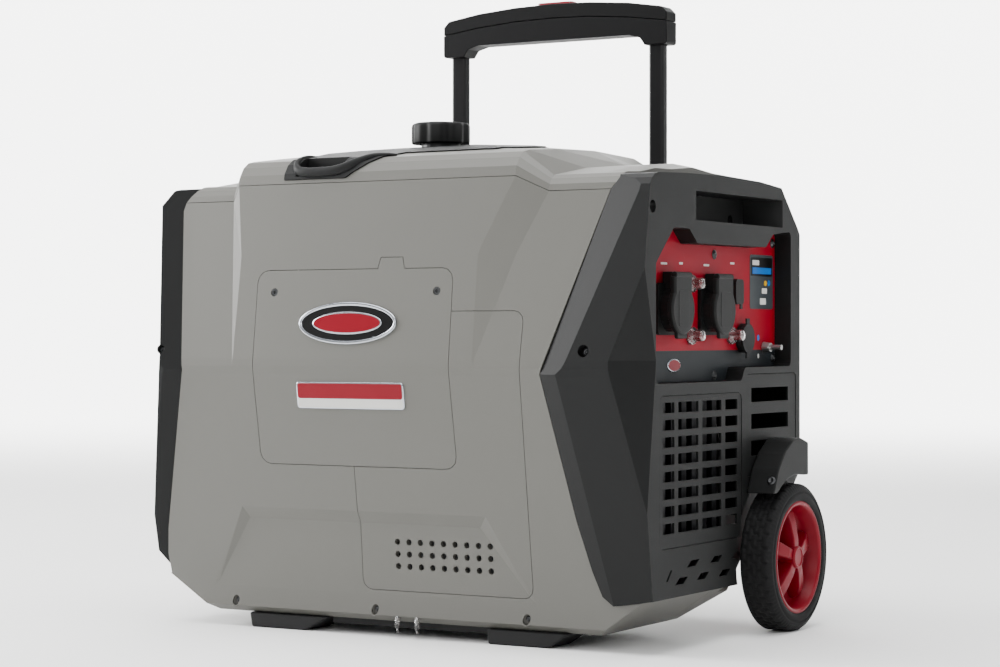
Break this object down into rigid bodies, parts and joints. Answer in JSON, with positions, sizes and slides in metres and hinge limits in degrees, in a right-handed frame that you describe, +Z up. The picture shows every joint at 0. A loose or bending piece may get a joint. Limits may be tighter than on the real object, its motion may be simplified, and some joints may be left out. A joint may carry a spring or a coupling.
{
  "type": "inverter generator",
  "caption": "Wheeled inverter generator in a moulded suitcase body with a telescopic handle, recessed outlet panel, top fuel filler and removable service cover.",
  "frame": {"origin": "on the floor, under the middle of the body and of its overall size", "axes": "+X towards the control panel end, -Y the service side, +Y the handle and wheel side, +Z up"},
  "size_m": [0.689, 0.4151, 0.7125],
  "materials": {
    "grey_plastic": "moulded light-texture grey",
    "black_plastic": "moulded light-texture black",
    "red_plastic": "smooth moulded red",
    "panel_plastic": "printed red and slate panel",
    "clear_rubber": "clear soft boot",
    "rubber": "matt black",
    "tyre_rubber": "matt black",
    "steel": "zinc plated",
    "black_steel": "black powder coat",
    "aluminium": "cast or extruded",
    "copper": "enamelled winding"
  },
  "bodies": {
    "body": {"front_cover": "grey_plastic", "back_cover": "grey_plastic", "top_cover": "grey_plastic", "vent_panel": "grey_plastic", "top_tray": "black_plastic", "control_end_frame": "black_plastic", "exhaust_end_frame": "black_plastic", "intake_grille": "black_plastic", "louvre_panel": "black_plastic", "exhaust_grille": "black_plastic", "socket_left_body": "black_plastic", "socket_right_body": "black_plastic", "usb_socket": "black_plastic", "dc_socket": "black_plastic", "fender_left": "black_plastic", "fender_right": "black_plastic", "fuel_tank": "black_plastic", "recoil_housing": "black_plastic", "air_box": "black_plastic", "control_panel": "panel_plastic", "foot_left": "rubber", "foot_right": "rubber", "ground_stud": "steel", "axle": "steel", "spark_plug": "steel", "base_tray": "black_steel", "guide_tube_left": "aluminium", "guide_tube_right": "aluminium", "engine_block": "aluminium", "cylinder_head": "aluminium", "muffler": "aluminium", "carburetor": "aluminium", "inverter_module": "aluminium", "stator": "copper"},
    "wheel_left": {"tyre_left": "tyre_rubber", "rim_left": "red_plastic"},
    "wheel_right": {"tyre_right": "tyre_rubber", "rim_right": "red_plastic"},
    "handle": {"handle_grip": "black_plastic", "handle_yoke": "black_plastic", "handle_tube_left": "black_steel", "handle_tube_right": "black_steel"},
    "button": {"release_button": "red_plastic"},
    "cap_seal": {"fuel_cap_gasket": "rubber"},
    "cap": {"fuel_cap": "black_plastic"},
    "service_door": {"service_cover": "grey_plastic", "service_screw_left": "steel", "service_screw_right": "steel"},
    "lid_left": {"socket_left_lid": "black_plastic"},
    "lid_right": {"socket_right_lid": "black_plastic"},
    "usb_flap": {"usb_cover": "rubber"},
    "dc_flap": {"dc_cover": "rubber"},
    "reset_upper": {"breaker_upper": "clear_rubber"},
    "reset_lower_left": {"breaker_lower_left": "clear_rubber"},
    "reset_lower_right": {"breaker_lower_right": "clear_rubber"},
    "wing_nut": {"ground_nut": "steel"},
    "control_knob": {"engine_knob": "red_plastic"},
    "starter_grip": {"recoil_grip": "black_plastic"},
    "starter_pulley": {"recoil_pulley": "black_plastic"},
    "crankshaft": {"crankshaft_rotor": "steel"}
  },
  "joints": [
    {"name": "wheel_left_spin", "type": "hinge", "parent": "body", "child": "wheel_left", "pos_m": [-0.3045, 0.112, 0.08], "axis": [1, 0, 0], "continuous": true},
    {"name": "wheel_right_spin", "type": "hinge", "parent": "body", "child": "wheel_right", "pos_m": [0.3045, 0.112, 0.08], "axis": [1, 0, 0], "continuous": true},
    {"name": "handle_slide", "type": "slide", "parent": "body", "child": "handle", "axis": [0, 0, 1], "range_m": [-0.16, 0]},
    {"name": "release_button_press", "type": "slide", "parent": "handle", "child": "button", "axis": [0, 0, -1], "range_m": [0, 0.0025], "stiffness_N_per_m": 1200},
    {"name": "fuel_cap_lift", "type": "slide", "parent": "body", "child": "cap_seal", "axis": [0, 0, 1], "range_m": [0, 0.06]},
    {"name": "fuel_cap_turn", "type": "hinge", "parent": "cap_seal", "child": "cap", "pos_m": [-0.045, 0, 0.5345], "axis": [0, 0, 1], "range_deg": [0, 90]},
    {"name": "service_cover_tilt", "type": "hinge", "parent": "body", "child": "service_door", "pos_m": [0, -0.18362, 0.182], "axis": [1, 0, 0], "range_deg": [0, 60]},
    {"name": "socket_left_lid_swing", "type": "hinge", "parent": "body", "child": "lid_left", "pos_m": [0.3074, -0.1036, 0.3815], "axis": [0, -1, 0], "range_deg": [0, 100], "stiffness_Nm_per_rad": 0.03},
    {"name": "socket_right_lid_swing", "type": "hinge", "parent": "body", "child": "lid_right", "pos_m": [0.3074, -0.0046, 0.3815], "axis": [0, -1, 0], "range_deg": [0, 100], "stiffness_Nm_per_rad": 0.03},
    {"name": "usb_cover_swing", "type": "hinge", "parent": "body", "child": "usb_flap", "pos_m": [0.2938, 0.0585, 0.3805], "axis": [0, -1, 0], "range_deg": [0, 90]},
    {"name": "dc_cover_swing", "type": "hinge", "parent": "body", "child": "dc_flap", "pos_m": [0.2958, 0.0765, 0.333], "axis": [0, -1, 0], "range_deg": [0, 90]},
    {"name": "breaker_upper_press", "type": "slide", "parent": "body", "child": "reset_upper", "axis": [-1, 0, 0], "range_m": [0, 0.0025], "stiffness_N_per_m": 800},
    {"name": "breaker_lower_left_press", "type": "slide", "parent": "body", "child": "reset_lower_left", "axis": [-1, 0, 0], "range_m": [0, 0.0025], "stiffness_N_per_m": 800},
    {"name": "breaker_lower_right_press", "type": "slide", "parent": "body", "child": "reset_lower_right", "axis": [-1, 0, 0], "range_m": [0, 0.0025], "stiffness_N_per_m": 800},
    {"name": "ground_nut_turn", "type": "hinge", "parent": "body", "child": "wing_nut", "pos_m": [0.2895, 0.135, 0.307], "axis": [1, 0, 0], "continuous": true},
    {"name": "engine_knob_turn", "type": "hinge", "parent": "body", "child": "control_knob", "pos_m": [-0.075, 0.192, 0.332], "axis": [0, 1, 0], "range_deg": [0, 90]},
    {"name": "recoil_pull", "type": "slide", "parent": "body", "child": "starter_grip", "axis": [0, 1, 0], "range_m": [0, 0.45], "stiffness_N_per_m": 20},
    {"name": "recoil_pulley_spin", "type": "hinge", "parent": "body", "child": "starter_pulley", "pos_m": [0.02, 0.14, 0.2385], "axis": [0, 1, 0], "range_deg": [-10, 585]},
    {"name": "crankshaft_spin", "type": "hinge", "parent": "body", "child": "crankshaft", "pos_m": [0.02, 0, 0.2385], "axis": [0, 1, 0], "continuous": true}
  ],
  "couplings": [
    {"joint": "recoil_pulley_spin", "follows": "recoil_pull", "rad_per_m": 22.222}
  ]
}
